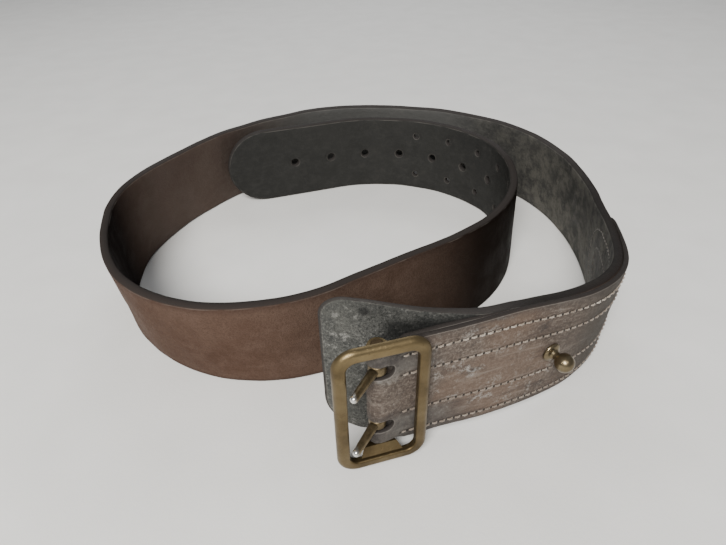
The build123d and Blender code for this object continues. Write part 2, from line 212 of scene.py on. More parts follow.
TAUPE_PALE_STREAK = (0.205, 0.172, 0.145)
TAUPE_DARK_STREAK = (0.045, 0.032, 0.026)
BLOOM = (0.322, 0.308, 0.282)
STAIN = (0.028, 0.023, 0.021)
PIN_GRIME_DARK = (0.030, 0.028, 0.028)
PIN_GRIME_PALE = (0.090, 0.086, 0.079)
FREE_END_PAINTED_SHADE = (0.035, 0.029, 0.023)
SOILED_EDGE = (0.030, 0.026, 0.023)
GROOVE = (0.046, 0.037, 0.031)
THREAD_HOLE = (0.009, 0.008, 0.006)
CHAPE_EDGE = (0.018, 0.014, 0.012)
CHAPE_ARRIS = (0.242, 0.219, 0.196)
THREADS = ((0.115, 0.087, 0.062), (0.245, 0.198, 0.152), (0.430, 0.385, 0.325))
THREAD_GRUBBY = (0.150, 0.115, 0.088)
THREAD_GREY = (0.076, 0.066, 0.055)
FRAME_BRASS = ((0.060, 0.042, 0.020), (0.118, 0.085, 0.041), (0.190, 0.145, 0.076))
PIN_BRASS = ((0.060, 0.043, 0.026), (0.115, 0.080, 0.045), (0.180, 0.130, 0.070))
STUD_BRASS = ((0.090, 0.070, 0.042), (0.180, 0.143, 0.086), (0.310, 0.258, 0.164))
FRAME_RUBBED_AND_LIT_FROM = 0.055    # height in metres
NOWHERE = 1.0    # a height that the belt doesn't reach
CLAW_BRONZES = ((0.085, 0.064, 0.036), (0.24, 0.185, 0.105))
CLAW_TIP = (0.66, 0.65, 0.62)
STEELS = ((0.10, 0.085, 0.065), (0.33, 0.31, 0.28))
FLOOR_COLOURS = ((0.82, 0.81, 0.775), (0.87, 0.86, 0.825))


# -------------------- geometry of the leather
def ease(t):
    """0 to 1 with level ends."""
    t = min(max(t, 0.0), 1.0)
    return t * t * (3 - 2 * t)


def route(station):
    """Plan position and heading (radians) at a station."""
    x, y, heading = PIN_X, PIN_Y, 0.0
    if station < 0:
        return x + station, y, heading
    left = station
    for length, turn in ROUTE:
        step = min(left, length)
        half_turn = radians(turn) * step / length / 2
        chord = step * sin(half_turn) / half_turn if half_turn else step
        x += chord * cos(heading + half_turn)
        y += chord * sin(heading + half_turn)
        heading += 2 * half_turn
        left -= step
        if left <= 0:
            break
    return x, y, heading


def lean(station):
    """Outward lean of the strap's top edge, in radians."""
    if station <= LEANS[0][0]:
        return radians(LEANS[0][1])
    for (near, near_lean), (far, far_lean) in zip(LEANS, LEANS[1:]):
        if station <= far:
            share = ease((station - near) / (far - near))
            return radians(near_lean + (far_lean - near_lean) * share)
    return radians(LEANS[-1][1])


def base_height(station):
    """Height of the grain face's lower edge above the ground."""
    raised = BUCKLE_LIFT * (1 - ease((station - LIFT_ENDS_FROM) / (LIFT_ENDS_AT - LIFT_ENDS_FROM)))
    return raised + STRAP_THICKNESS * sin(max(0.0, -lean(station)))


def directions(station):
    """Tangent, up and out directions of the strap at a station."""
    heading, tilt = route(station)[2], lean(station)
    tangent = Vector((cos(heading), sin(heading), 0))
    level_out = Vector((sin(heading), -cos(heading), 0))
    up = Vector((0, 0, cos(tilt))) + level_out * sin(tilt)
    out = level_out * cos(tilt) - Vector((0, 0, sin(tilt)))
    return tangent, up, out


def place(station, up, out):
    """The point up and out from the strap's grain face at a station, in metres."""
    x, y, _ = route(station)
    _, up_direction, out_direction = directions(station)
    base = Vector((x, y, base_height(station)))
    return (base + up_direction * (HALF_WIDTH + up) + out_direction * out) * MM


def return_thickness(station):
    """The chape's inner layer, skived thin towards its end."""
    share = ease((station - RETURN_TAPER_FROM) / (RETURN_END - RETURN_TAPER_FROM))
    return RETURN_THICKNESS + (RETURN_END_THICKNESS - RETURN_THICKNESS) * share


def setback(station):
    """How far the strap's grain face stands back from the route's face."""
    layer = return_thickness(station) * (1 - ease((station - RETURN_END) / RETURN_BLEND))
    curl = max(0.0, GUARD_CURL_FROM - station) ** 2 / (2 * GUARD_CURL_RADIUS)
    return GLUE_LINE + layer + curl


def flare(station):
    """0 along the strap, 1 at the guard's free end."""
    return ease((GUARD_FLARE_FROM - station) / GUARD_FLARE_LENGTH)


def strap_thickness(station):
    return STRAP_THICKNESS + (GUARD_THICKNESS - STRAP_THICKNESS) * flare(station)


def hole_places():
    """(station, up, radius) of every hole in the billet."""
    places = []
    for hole in range(STUD_HOLE_COUNT):
        places.append((FIRST_STUD_HOLE + STUD_HOLE_PITCH * hole, 0.0, STUD_HOLE_RADIUS))
    for pair in range(CLAW_HOLE_PAIRS):
        station = FIRST_STUD_HOLE + STUD_HOLE_PITCH * (pair - CLAW_HOLE_PAIRS / 2 + 0.5)
        for side in (-1, 1):
            places.append((station, side * CLAW_SPREAD, CLAW_HOLE_RADIUS))
    return places


# -------------------- leather sheets
def add_object(name, data):
    made = bpy.data.objects.new(name, data)
    bpy.context.scene.collection.objects.link(made)
    return made


def along(start, end, step):
    """Even values from start up to, but without, end."""
    count = max(1, ceil(abs(end - start) / step))
    return [start + (end - start) * i / count for i in range(count)]


def arc(centre, radius, start, end, step):
    """Points on an arc, in degrees, without its end point."""
    count = max(2, ceil(abs(radians(end - start)) * radius / step))
    angles = [radians(start + (end - start) * i / count) for i in range(count)]
    return [(centre[0] + radius * cos(a), centre[1] + radius * sin(a)) for a in angles]


def circle_hole(station, up, radius):
    """A round hole's outline, clockwise."""
    return arc((station, up), radius, 360, 0, 2 * pi * radius / HOLE_SIDES)


def outline_normals(points):
    """Unit normals that point out of the leather, for a closed outline."""
    ring = np.array(points)
    tangent = np.roll(ring, -1, axis=0) - np.roll(ring, 1, axis=0)
    tangent /= np.linalg.norm(tangent, axis=1)[:, None]
    return np.stack([tangent[:, 1], -tangent[:, 0]], axis=1)


def inside(points, outline):
    """Which points lie inside a closed outline."""
    ring = np.array(outline)
    after = np.roll(ring, -1, axis=0)
    x, y = points[:, 0], points[:, 1]
    result = np.zeros(len(points), bool)
    for (ax, ay), (bx, by) in zip(ring, after):
        if ay == by:
            continue
        crosses = (ay > y) != (by > y)
        result ^= crosses & (x < (bx - ax) * (y - ay) / (by - ay) + ax)
    return result


def far_from(points, outline, distance):
    """Which points are further than a distance from every point of an outline."""
    ring = np.array(outline)
    result = np.ones(len(points), bool)
    batch = 200
    for start in range(0, len(ring), batch):
        gaps = points[:, None, :] - ring[None, start:start + batch, :]
        result &= (gaps ** 2).sum(axis=2).min(axis=1) > distance ** 2
    return result


def rim_profile(rim, thickness):
    """(offset from the outline, depth) round a leather edge; depth is 1 at the grain face."""
    steps = 3
    profile = []
    for i in range(steps + 1):
        angle = pi / 2 * i / steps
        profile.append((rim * sin(angle) - rim, 1 - rim / thickness * (1 - cos(angle))))
    return profile + [(offset, 1 - depth) for offset, depth in reversed(profile)]


def leather_sheet(name, outline, holes, surface, rim, thickness, spacing):
    """A closed sheet of leather; surface(station, up, depth) gives its points.

    The outline runs anticlockwise, each hole clockwise. Its edges are rounded by the rim.
    """
    loops = [outline] + holes
    normals = [outline_normals(loop) for loop in loops]
    inset = [np.array(loop) - normal * rim for loop, normal in zip(loops, normals)]
    low, high = np.array(outline).min(axis=0), np.array(outline).max(axis=0)
    columns = np.arange(low[0] + spacing / 2, high[0], spacing)
    rows = np.linspace(low[1] + rim, high[1] - rim, int((high[1] - low[1]) / spacing))
    grid = np.array([(s, v) for s in columns for v in rows])
    grid = grid[inside(grid, inset[0])]
    clearance = spacing * 0.55
    for number, loop in enumerate(inset):
        grid = grid[far_from(grid, loop, clearance)]
        if number:
            grid = grid[~inside(grid, loop)]
    points = np.concatenate(inset + [grid])
    edges, starts, first = [], [], 0
    for loop in inset:
        starts.append(first)
        count = len(loop)
        edges += [(first + i, first + (i + 1) % count) for i in range(count)]
        first += count
    weld = 1e-6
    flat, _, triangles, _, _, _ = delaunay_2d_cdt(
        [Vector(p) for p in points], edges, [], 0, weld)
    flat = np.array([(p.x, p.y) for p in flat])
    triangles = np.array(triangles)
    middles = flat[triangles].mean(axis=1)
    keep = inside(middles, inset[0])
    for loop in inset[1:]:
        keep &= ~inside(middles, loop)
    triangles = triangles[keep]

    mesh_points, flats, depths, rims, faces = [], [], [], [], []

    def add(station, up, depth, edge):
        mesh_points.append(surface(station, up, depth))
        flats.append((station, up))
        depths.append(depth)
        rims.append(edge)
        return len(mesh_points) - 1

    grain = [add(s, v, 1.0, 0.0) for s, v in flat]
    flesh = [add(s, v, 0.0, 0.0) for s, v in flat]
    faces += [[grain[i] for i in t] for t in triangles]
    faces += [[flesh[i] for i in reversed(t)] for t in triangles]
    profile = rim_profile(rim, thickness)
    for start, loop, normal in zip(starts, loops, normals):
        count = len(loop)
        rings = [grain[start:start + count]]
        for offset, depth in profile[1:-1]:
            shifted = np.array(loop) + normal * offset
            rings.append([add(s, v, depth, 1 + offset / rim) for s, v in shifted])
        rings.append(flesh[start:start + count])
        for upper, lower in zip(rings, rings[1:]):
            for i in range(count):
                j = (i + 1) % count
                faces.append([upper[j], upper[i], lower[i], lower[j]])

    mesh = bpy.data.meshes.new(name)
    mesh.from_pydata(mesh_points, [], [[int(i) for i in face] for face in faces])
    build = bmesh.new()
    build.from_mesh(mesh)
    bmesh.ops.recalc_face_normals(build, faces=build.faces)
    build.to_mesh(mesh)
    build.free()
    mesh.shade_smooth()
    uv = mesh.uv_layers.new(name="strap")
    corners = np.zeros(len(mesh.loops), int)
    mesh.loops.foreach_get("vertex_index", corners)
    uv.data.foreach_set("uv", (np.array(flats)[corners] * MM).ravel())
    for label, values in (("depth", depths), ("rim", rims)):
        attribute = mesh.attributes.new(label, "FLOAT", "POINT")
        attribute.data.foreach_set("value", values)
    return add_object(name, mesh)


def ripple(station, up, size, amount, seed):
    """A smooth uneven value about 0, repeating every few sizes of millimetres."""
    return amount * noise.noise(Vector((station / size, up / size, seed)))


def strap_outline():
    """The strap's outline, anticlockwise, with the guard at its start."""
    def top(s):
        return HALF_WIDTH + GUARD_FLARE_TOP * flare(s)

    def bottom(s):
        return -HALF_WIDTH - GUARD_FLARE_BOTTOM * flare(s)

    tip_centre = TIP_STATION - HALF_WIDTH
    upper_corner = GUARD_END + GUARD_TOP_CORNER
    lower_corner = GUARD_END + GUARD_BOTTOM_CORNER
    top_end = HALF_WIDTH + GUARD_FLARE_TOP
    bottom_end = -HALF_WIDTH - GUARD_FLARE_BOTTOM
    points = [(s, bottom(s)) for s in along(lower_corner, tip_centre, EDGE_STEP)]
    points += arc((tip_centre, 0), HALF_WIDTH, -90, 90, ROUND_END_STEP)
    points += [(s, top(s)) for s in along(tip_centre, upper_corner, EDGE_STEP)]
    side_start = top_end - GUARD_TOP_CORNER
    side_end = bottom_end + GUARD_BOTTOM_CORNER
    points += arc((upper_corner, side_start), GUARD_TOP_CORNER, 90, 180, TOP_CORNER_STEP)
    points += [(GUARD_END, v) for v in along(side_start, side_end, EDGE_STEP)]
    points += arc((lower_corner, side_end), GUARD_BOTTOM_CORNER, 180, BOTTOM_CORNER_ENDS,
                  BOTTOM_CORNER_STEP)
    return points


def make_strap():
    """The main strap, with every hole cut through it."""
    holes = hole_places()

    def surface(station, up, depth):
        outer = -setback(station)
        out = outer - strap_thickness(station) * (1 - depth)
        out += sum(ripple(station, up, *wave) for wave in STRAP_WAVES)
        for hole_station, hole_up, radius in holes:
            gap = hypot(station - hole_station, up - hole_up) - radius
            if gap < RAISED_RIM_WIDTH:
                share = 1 - ease(gap / RAISED_RIM_WIDTH)
                out += (0.5 - depth) * RAISED_RIM_HEIGHT * share
        edge_wave = ripple(station, up, *STRAP_EDGE_WAVE) * abs(up) / HALF_WIDTH
        return place(station, up + edge_wave, out)

    cut = [circle_hole(*hole) for hole in holes]
    return leather_sheet("strap_leather", strap_outline(), cut, surface, STRAP_RIM,
                         STRAP_THICKNESS, STRAP_SPACING)


def chape_outline():
    """The chape laid flat: run is measured from the fold's left end, front side positive."""
    bend = FOLD_RADIUS * pi / 2
    tip_centre = CHAPE_END - HALF_WIDTH + bend
    end = -(RETURN_END + bend)

    def half_height(run, ear):
        rise = ease((abs(run) - bend - EAR_END) / (SHOULDER_END - EAR_END))
        return ear + (HALF_WIDTH - ear) * rise

    there = along(end, tip_centre, CHAPE_EDGE_STEP)
    back = along(tip_centre, end, CHAPE_EDGE_STEP)
    points = [(run, -half_height(run, LOWER_EAR_HEIGHT)) for run in there]
    points += arc((tip_centre, 0), HALF_WIDTH, -90, 90, ROUND_END_STEP)
    points += [(run, half_height(run, UPPER_EAR_HEIGHT)) for run in back]
    points += [(end, v) for v in along(HALF_WIDTH, -HALF_WIDTH, EDGE_STEP)]
    return points


def chape_slot(side):
    """A claw's slot round the fold, clockwise."""
    bend = FOLD_RADIUS * pi / 2
    radius = SLOT_WIDTH / 2
    reach = SLOT_END + bend - radius
    middle = side * CLAW_SPREAD
    points = [(run, middle + radius) for run in along(-reach, reach, SLOT_STEP)]
    points += arc((reach, middle), radius, 90, -90, SLOT_END_STEP)
    points += [(run, middle - radius) for run in along(reach, -reach, SLOT_STEP)]
    points += arc((-reach, middle), radius, -90, -270, SLOT_END_STEP)
    return points


def make_chape():
    """The folded layer that holds the buckle: front, fold round the pin, and return."""
    bend = FOLD_RADIUS * pi / 2

    def middle_line(run):
        """(station, out, normal in plan) on the middle of the layer's thickness."""
        if abs(run) <= bend:
            angle = run / FOLD_RADIUS
            normal = (-cos(angle), sin(angle))
            return FOLD_RADIUS * normal[0], FOLD_RADIUS * normal[1], normal
        side = 1 if run > 0 else -1
        station = abs(run) - bend
        if side > 0:
            flat_out = CHAPE_THICKNESS / 2
        else:
            flat_out = return_thickness(station) / 2
        drop = 1 - ease(station / FOLD_BLEND)
        out = side * (flat_out + (FOLD_RADIUS - flat_out) * drop)
        return station, out, (0.0, side)

    def layer_thickness(run):
        if run < -bend:
            return return_thickness(-run - bend) - CHAPE_PLAY
        return CHAPE_THICKNESS - CHAPE_PLAY

    def bevel(run, up):
        """How much the front layer is skived towards its round end."""
        past_centre = max(0.0, run - bend - (CHAPE_END - HALF_WIDTH))
        to_edge = HALF_WIDTH - hypot(past_centre, up)
        near_end = ease((run - BEVEL_FROM) / BEVEL_BLEND)
        return BEVEL_DEPTH * near_end * (1 - ease(to_edge / BEVEL_WIDTH))

    def surface(run, up, depth):
        station, out, normal = middle_line(run)
        away = (depth - 0.5) * layer_thickness(run) - depth * bevel(run, up)
        # the fold is even, so that the pin turns freely in it
        unevenness = ease((abs(run) - bend) / CHAPE_WAVE_BLEND)
        for wave in CHAPE_WAVES:
            away += unevenness * ripple(run, up, *wave)
        edge_wave = ripple(run, up, *CHAPE_EDGE_WAVE) * abs(up) / HALF_WIDTH
        edge_wave *= ease((abs(run) - bend - EAR_END) / CHAPE_EDGE_WAVE_BLEND)
        return place(station + normal[0] * away, up + edge_wave, out + normal[1] * away)

    return leather_sheet("chape_leather", chape_outline(), [chape_slot(1), chape_slot(-1)],
                         surface, CHAPE_RIM, CHAPE_THICKNESS, CHAPE_SPACING)


# -------------------- thread
def stitch_places(radius, middle):
    """(station, up, angle) of each stitch of a U: two rows joined by a half circle."""
    centre = CHAPE_END - HALF_WIDTH
    straight = centre - ROW_START
    total = 2 * straight + pi * radius
    count = round(total / STITCH_PITCH)
    places = []
    for i in range(count):
        run = total * (i + 0.5) / count
        if run < straight:
            places.append((ROW_START + run, middle + radius, 0.0))
        elif run < straight + pi * radius:
            turned = (run - straight) / radius
            up = middle + radius * cos(turned)
            places.append((centre + radius * sin(turned), up, -turned))
        else:
            places.append((ROW_START + total - run, middle - radius, pi))
    return places


def tube(path, radius, sides):
    """Points and faces of a closed tube along a path."""
    points, faces = [], []
    for i, centre in enumerate(path):
        ahead = path[min(i + 1, len(path) - 1)] - path[max(i - 1, 0)]
        ahead.normalize()
        side = ahead.cross(Vector((0, 0, 1)))
        if side.length < 0.1:
            side = ahead.cross(Vector((1, 0, 0)))
        side.normalize()
        other = ahead.cross(side)
        for k in range(sides):
            angle = 2 * pi * k / sides
            points.append(centre + (side * cos(angle) + other * sin(angle)) * radius)
    for i in range(len(path) - 1):
        for k in range(sides):
            j = (k + 1) % sides
            faces.append([i * sides + k, i * sides + j, (i + 1) * sides + j, (i + 1) * sides + k])
    faces.append(list(range(sides)))
    last = (len(path) - 1) * sides
    faces.append([last + k for k in reversed(range(sides))])
    return points, faces


def stitch_path(station, up, slant, length, ply, side):
    """The middle line of one ply, which dips into the leather at both ends."""
    face, arch, outward = side
    path = []
    for i in range(STITCH_STEPS):
        share = i / (STITCH_STEPS - 1)
        run = (share - 0.5) * length
        turn = 2 * pi * run / PLY_TWIST + ply * pi
        across = PLY_RADIUS * PLY_ACROSS * cos(turn)
        dip = ARCH_DROP * abs(2 * share - 1) ** ARCH_SHARPNESS
        lift = arch - dip + PLY_RADIUS * PLY_LIFT * sin(turn)
        s = station + run * cos(slant) - across * sin(slant)
        v = up + run * sin(slant) + across * cos(slant)
        path.append(place(s, v, face + outward * lift))
    return path


def make_stitches(name, radius, middle):
    """Each visible stitch on both sides of the leather, as two twisted plies."""
    points, faces, soiled = [], [], []
    for number, (station, up, angle) in enumerate(stitch_places(radius, middle)):
        jitter = noise.noise(Vector((number * JITTER_STEP, radius, JITTER_SEED)))
        length = STITCH_LENGTH * (1 + LENGTH_JITTER * jitter)
        slant = angle + SLANT + SLANT_JITTER * jitter
        # each side is (where the leather's face is, the stitch's height on it, its direction)
        grain = (CHAPE_THICKNESS, ARCH_HEIGHT - SUNK_JITTER * abs(jitter), 1)
        flesh = (-setback(station) - strap_thickness(station), ARCH_HEIGHT - FLESH_SIDE_SUNK, -1)
        for side in (grain, flesh):
            for ply in (0, 1):
                path = stitch_path(station, up, slant, length, ply, side)
                new_points, new_faces = tube(path, PLY_RADIUS * MM, PLY_SIDES)
                first = len(points)
                points += new_points
                faces += [[first + i for i in face_points] for face_points in new_faces]
                soiled += [0.0 if side is grain else 1.0] * len(new_points)
    mesh = bpy.data.meshes.new(name)
    mesh.from_pydata(points, [], faces)
    mesh.shade_smooth()
    mesh.attributes.new("soiled", "FLOAT", "POINT").data.foreach_set("value", soiled)
    return add_object(name, mesh)


# -------------------- shader helper
class Shader:
    """Builds one material; each method returns an output socket."""

    def __init__(self, name):
        self.material = bpy.data.materials.new(name)
        self.material.use_nodes = True
        self.tree = self.material.node_tree
        self.surface = self.tree.nodes["Principled BSDF"]

    def put(self, value, socket):
        if isinstance(value, bpy.types.NodeSocket):
            self.tree.links.new(value, socket)
        else:
            socket.default_value = value

    def node(self, kind, inputs=(), **settings):
        made = self.tree.nodes.new(kind)
        for key, value in settings.items():
            setattr(made, key, value)
        for key, value in dict(inputs).items():
            self.put(value, made.inputs[key])
        return made

    def math(self, operation, first, second=0.0, clamp=False):
        made = self.node("ShaderNodeMath", operation=operation, use_clamp=clamp)
        self.put(first, made.inputs[0])
        self.put(second, made.inputs[1])
        return made.outputs[0]

    def plus(self, first, second, clamp=False):
        return self.math("ADD", first, second, clamp)

    def minus(self, first, second):
        return self.math("SUBTRACT", first, second)

    def times(self, first, second):
        return self.math("MULTIPLY", first, second)

    def absolute(self, value):
        return self.math("ABSOLUTE", value)

    def length(self, first, second):
        """The long side of a right-angled triangle."""
        squares = self.plus(self.times(first, first), self.times(second, second))
        return self.math("SQRT", squares)

    def position(self):
        return self.node("ShaderNodeTexCoord").outputs["Object"]

    def strap_place(self):
        """(station, up) in metres as two sockets."""
        uv = self.node("ShaderNodeUVMap", uv_map="strap").outputs["UV"]
        split = self.node("ShaderNodeSeparateXYZ", {"Vector": uv})
        return split.outputs["X"], split.outputs["Y"]

    def part_of_position(self, axis):
        """X, Y or Z of the position, in metres."""
        split = self.node("ShaderNodeSeparateXYZ", {"Vector": self.position()})
        return split.outputs[axis]

    def attribute(self, name):
        return self.node("ShaderNodeAttribute", attribute_name=name).outputs["Fac"]

    def moved(self, vector, setting, value):
        """Coordinates with their Location or Scale changed."""
        made = self.node("ShaderNodeMapping", {"Vector": vector})
        made.inputs[setting].default_value = value
        return made.outputs["Vector"]

    def stretched(self, along_factor, up_factor):
        """Strap coordinates scaled differently along and across."""
        uv = self.node("ShaderNodeUVMap", uv_map="strap").outputs["UV"]
        return self.moved(uv, "Scale", (along_factor, up_factor, 1))

    def noise(self, scale, detail=4.0, roughness=0.55, vector=None):
        made = self.node("ShaderNodeTexNoise", {
            "Vector": vector or self.position(), "Scale": scale, "Detail": detail,
            "Roughness": roughness})
        return made.outputs["Fac"]

    def cells(self, scale, feature):
        made = self.node("ShaderNodeTexVoronoi", {
            "Vector": self.position(), "Scale": scale}, feature=feature)
        return made.outputs["Distance"]

    def levels(self, value, low, high, start=0.0, end=1.0):
        """Maps low..high to start..end, clamped and smooth."""
        made = self.node("ShaderNodeMapRange", {
            "Value": value, "From Min": low, "From Max": high, "To Min": start, "To Max": end},
            interpolation_type="SMOOTHSTEP")
        return made.outputs["Result"]

    def band(self, value, rising, falling):
        """1 between a rising and a falling slope, each given as (where 0, where 1)."""
        return self.times(self.levels(value, *rising), self.levels(value, *falling))

    def blend(self, factor, first, second):
        made = self.node("ShaderNodeMix", data_type="RGBA")
        # inputs 0, 6 and 7 are the factor and the two colours
        for index, value in ((0, factor), (6, first), (7, second)):
            if isinstance(value, tuple):
                value = (*value, 1)
            self.put(value, made.inputs[index])
        return made.outputs[2]

    def over(self, colour, mask, strength, upper):
        """Lays an upper colour over another one, where the mask is high."""
        return self.blend(self.times(mask, strength), colour, upper)

    def ramp(self, value, places, colours):
        made = self.node("ShaderNodeValToRGB", {"Fac": value})
        line = made.color_ramp.elements
        while len(line) < len(places):
            line.new(0.5)
        for element, where, colour in zip(line, places, colours):
            element.position = where
            element.color = (*colour, 1)
        return made.outputs["Color"]

    def bump(self, height, strength, distance, normal=None):
        made = self.node("ShaderNodeBump", {
            "Height": height, "Strength": strength, "Distance": distance})
        if normal:
            self.put(normal, made.inputs["Normal"])
        return made.outputs["Normal"]

    def finish(self, colour, roughness, normal, **others):
        """Connects the surface; other inputs are named by key, as Specular_IOR_Level."""
        self.put(colour, self.surface.inputs["Base Color"])
        self.put(roughness, self.surface.inputs["Roughness"])
        self.put(normal, self.surface.inputs["Normal"])
        for key, value in others.items():
            self.put(value, self.surface.inputs[key.replace("_", " ")])
        return self.material


# -------------------- leather and thread materials
# In materials, places on the leather (station, up and distances) are in metres.
def brown_grain(shader, station, up, patches, speckle):
    """Worn red-brown harness leather, with painted shade near black from the inner bend on along
    the billet.
    """
    mottle = shader.noise(130.0, 5.0, 0.7)
    streaks = shader.noise(1.0, 6.0, 0.65, shader.stretched(30, 210))
    brown = shader.ramp(patches, (0.25, 0.5, 0.75), BROWNS)
    brown = shader.blend(shader.levels(mottle, 0.40, 0.70, 0.0, 0.45), brown, BROWN_MOTTLE)
    brown = shader.blend(shader.levels(streaks, 0.52, 0.80, 0.0, 0.40), brown, BROWN_STREAK)
    brown = shader.blend(shader.levels(speckle, 0.58, 0.36, 0.0, 0.42), brown, BROWN_SPECK)
    uneven_edge = shader.plus(shader.absolute(up), shader.times(patches, 0.006))
    edge_wear = shader.levels(uneven_edge, 0.0235, 0.0290)
    brown = shader.over(brown, edge_wear, 0.6, BROWN_EDGE)
    front_left = shader.band(station, (0.66, 0.72), (0.80, 0.74))
    brown = shader.over(brown, front_left, 0.22, RED_BROWN)
    # painted shade: near black over the inner bend's outer face and the billet
    billet_shade = shader.levels(station, 0.805, 0.875)
    return shader.over(brown, billet_shade, 0.95, BILLET_PAINTED_SHADE)


def grey_guard(shader, station, up, speckle):
    """The guard's grain side: dry and grey, with pale flecks and chalky spots."""
    clouds = shader.levels(shader.noise(60.0, 6.0, 0.62), 0.34, 0.68)
    flecks = shader.levels(shader.noise(900.0, 5.0, 0.8), 0.48, 0.66)
    chalk = shader.levels(shader.noise(260.0, 6.0, 0.78), 0.54, 0.70)
    pits = shader.levels(speckle, 0.52, 0.38)
    grey = shader.blend(clouds, GUARD_DARK, GUARD_PALE)
    grey = shader.over(grey, flecks, 0.60, GUARD_FLECK)
    grey = shader.over(grey, chalk, 0.55, GUARD_CHALK)
    grey = shader.over(grey, pits, 0.7, GUARD_PIT)
    # painted shade: darker along the guard's top, where the frame's top bar shades it
    shade_by_top = shader.levels(up, 0.018, 0.032)
    grey = shader.over(grey, shade_by_top, 0.40, GUARD_TOP_PAINTED_SHADE)
    rubbed = shader.times(shader.levels(station, 0.000, -0.013), clouds)
    grey = shader.over(grey, rubbed, 0.30, GUARD_RUBBED)
    # painted shade in the corner beside the chape's end, between the guard and the chape
    from_corner = shader.absolute(shader.minus(up, 0.0215))
    corner_shade = shader.times(shader.levels(station, 0.002, 0.009),
                          shader.levels(from_corner, 0.0065, 0.0015))
    grey = shader.over(grey, corner_shade, 0.80, CORNER_PAINTED_SHADE)
    # one dark mark near the top edge
    mark_station, mark_up = GUARD_MARK_PLACE
    from_mark = shader.length(shader.minus(station, mark_station), shader.minus(up, mark_up))
    mark = shader.levels(from_mark, 0.0024, 0.0010, 0.0, 0.75)
    return shader.blend(mark, grey, GUARD_MARK)


def flesh_side(shader, station, patches, fibres):
    """Dark fibrous leather, dusty at the right bend, paler on the far side, browner at the left."""
    mottle = shader.noise(170.0, 6.0, 0.72)
    flesh = shader.ramp(patches, (0.30, 0.52, 0.78), SOOTS)
    flesh = shader.blend(shader.levels(mottle, 0.44, 0.70, 0.0, 0.5), flesh, SOOT_MOTTLE)
    flesh = shader.blend(shader.levels(fibres, 0.45, 0.75, 0.0, 0.4), flesh, SOOT_FIBRE)
    dust = shader.levels(shader.noise(90.0, 7.0, 0.78), 0.40, 0.62)
    dusty = shader.times(shader.levels(station, 0.36, 0.22), dust)
    flesh = shader.over(flesh, dusty, 0.60, FLESH_DUST)
    far_side = shader.band(station, (0.29, 0.35), (0.52, 0.45))
    flesh = shader.over(flesh, far_side, 0.55, FLESH_PALE)
    browner = shader.band(station, (0.44, 0.56), (0.90, 0.74))
    flesh = shader.over(flesh, browner, 0.75, FLESH_BROWN)
    # the left bend's flesh side is painted near black as painted shade, and the billet's own flesh
    # side is darker again
    left_bend_shade = shader.band(station, (0.598, 0.645), (0.82, 0.76))
    flesh = shader.over(flesh, left_bend_shade, 0.96, FLESH_PAINTED_SHADE)
    billet = shader.levels(station, 0.90, 0.96)
    return shader.over(flesh, billet, 0.72, FLESH_BILLET)


def strap_edge(shader, colour, station, rim, edge):
    """The burnished edge, darkest beside the chape, with a thin paler arris that is partly rubbed
    wear and partly a painted highlight.
    """
    by_chape = shader.band(station, (0.040, 0.065), (0.240, 0.190))
    edge_colour = shader.blend(by_chape, EDGE_BROWN, EDGE_BY_CHAPE)
    colour = shader.over(colour, edge, 0.92, edge_colour)
    # a thin paler arris: rubbed wear and a painted highlight
    arris = shader.band(rim, (0.02, 0.20), (0.50, 0.24))
    worn_and_highlight = shader.times(arris, shader.levels(shader.noise(110.0, 5.0), 0.36, 0.66))
    return shader.over(colour, worn_and_highlight, 0.34, EDGE_ARRIS_AND_HIGHLIGHT)


def strap_leather():
    """Grain side, flesh side and burnished edge of the main strap."""
    shader = Shader("strap_leather")
    station, up = shader.strap_place()
    patches = shader.noise(16.0, 5.0, 0.6)
    speckle = shader.noise(1100.0, 3.0, 0.75)
    fibres = shader.noise(1.0, 7.0, 0.7, shader.stretched(190, 420))
    on_grain = shader.levels(shader.attribute("depth"), 0.35, 0.65)
    on_flesh = shader.minus(1.0, on_grain)
    guard = shader.levels(station, 0.095, 0.060)
    grain = shader.blend(guard, brown_grain(shader, station, up, patches, speckle),
                         grey_guard(shader, station, up, speckle))
    flesh = flesh_side(shader, station, patches, fibres)
    rim = shader.attribute("rim")
    edge = shader.levels(rim, 0.25, 0.75)
    colour = strap_edge(shader, shader.blend(on_grain, flesh, grain), station, rim, edge)

    # relief: pores and creases on the grain side, fibres on the flesh side
    pores = shader.cells(1500.0, "F1")
    creases = shader.noise(1.0, 5.0, 0.6, shader.stretched(260, 60))
    grain_height = shader.plus(shader.times(pores, 0.5), shader.times(creases, 0.8))
    flesh_height = shader.plus(fibres, shader.noise(900.0, 3.0, 0.7))
    height = shader.plus(shader.times(grain_height, on_grain),
                         shader.times(flesh_height, on_flesh))
    broad = shader.bump(patches, 0.35, 0.002)
    normal = shader.bump(height, 0.55, 0.0005, broad)
    roughness = shader.levels(shader.noise(70.0, 5.0), 0.3, 0.7, 0.48, 0.68)
    roughness = shader.plus(roughness, shader.times(on_flesh, 0.12))
    roughness = shader.plus(roughness, shader.times(edge, 0.15))
    # the left bend, the front wall and the inner bend are the least polished
    matt = shader.band(station, (0.580, 0.620), (0.985, 0.940))
    shine = shader.minus(0.20, shader.times(matt, 0.18))
    return shader.finish(colour, roughness, normal, Specular_IOR_Level=shine)


def stitch_distance(shader, station, up, radius):
    """(distance from a stitched U, run along it from its middle)."""
    centre = (CHAPE_END - HALF_WIDTH) * MM
    past = shader.math("MAXIMUM", shader.minus(station, centre), 0.0)
    before = shader.math("MAXIMUM", shader.minus(centre, station), 0.0)
    height = shader.absolute(up)
    reach = shader.length(past, height)
    distance = shader.absolute(shader.minus(reach, radius * MM))
    angle = shader.math("ARCTAN2", height, past)
    run = shader.plus(shader.times(angle, radius * MM), before)
    return distance, run


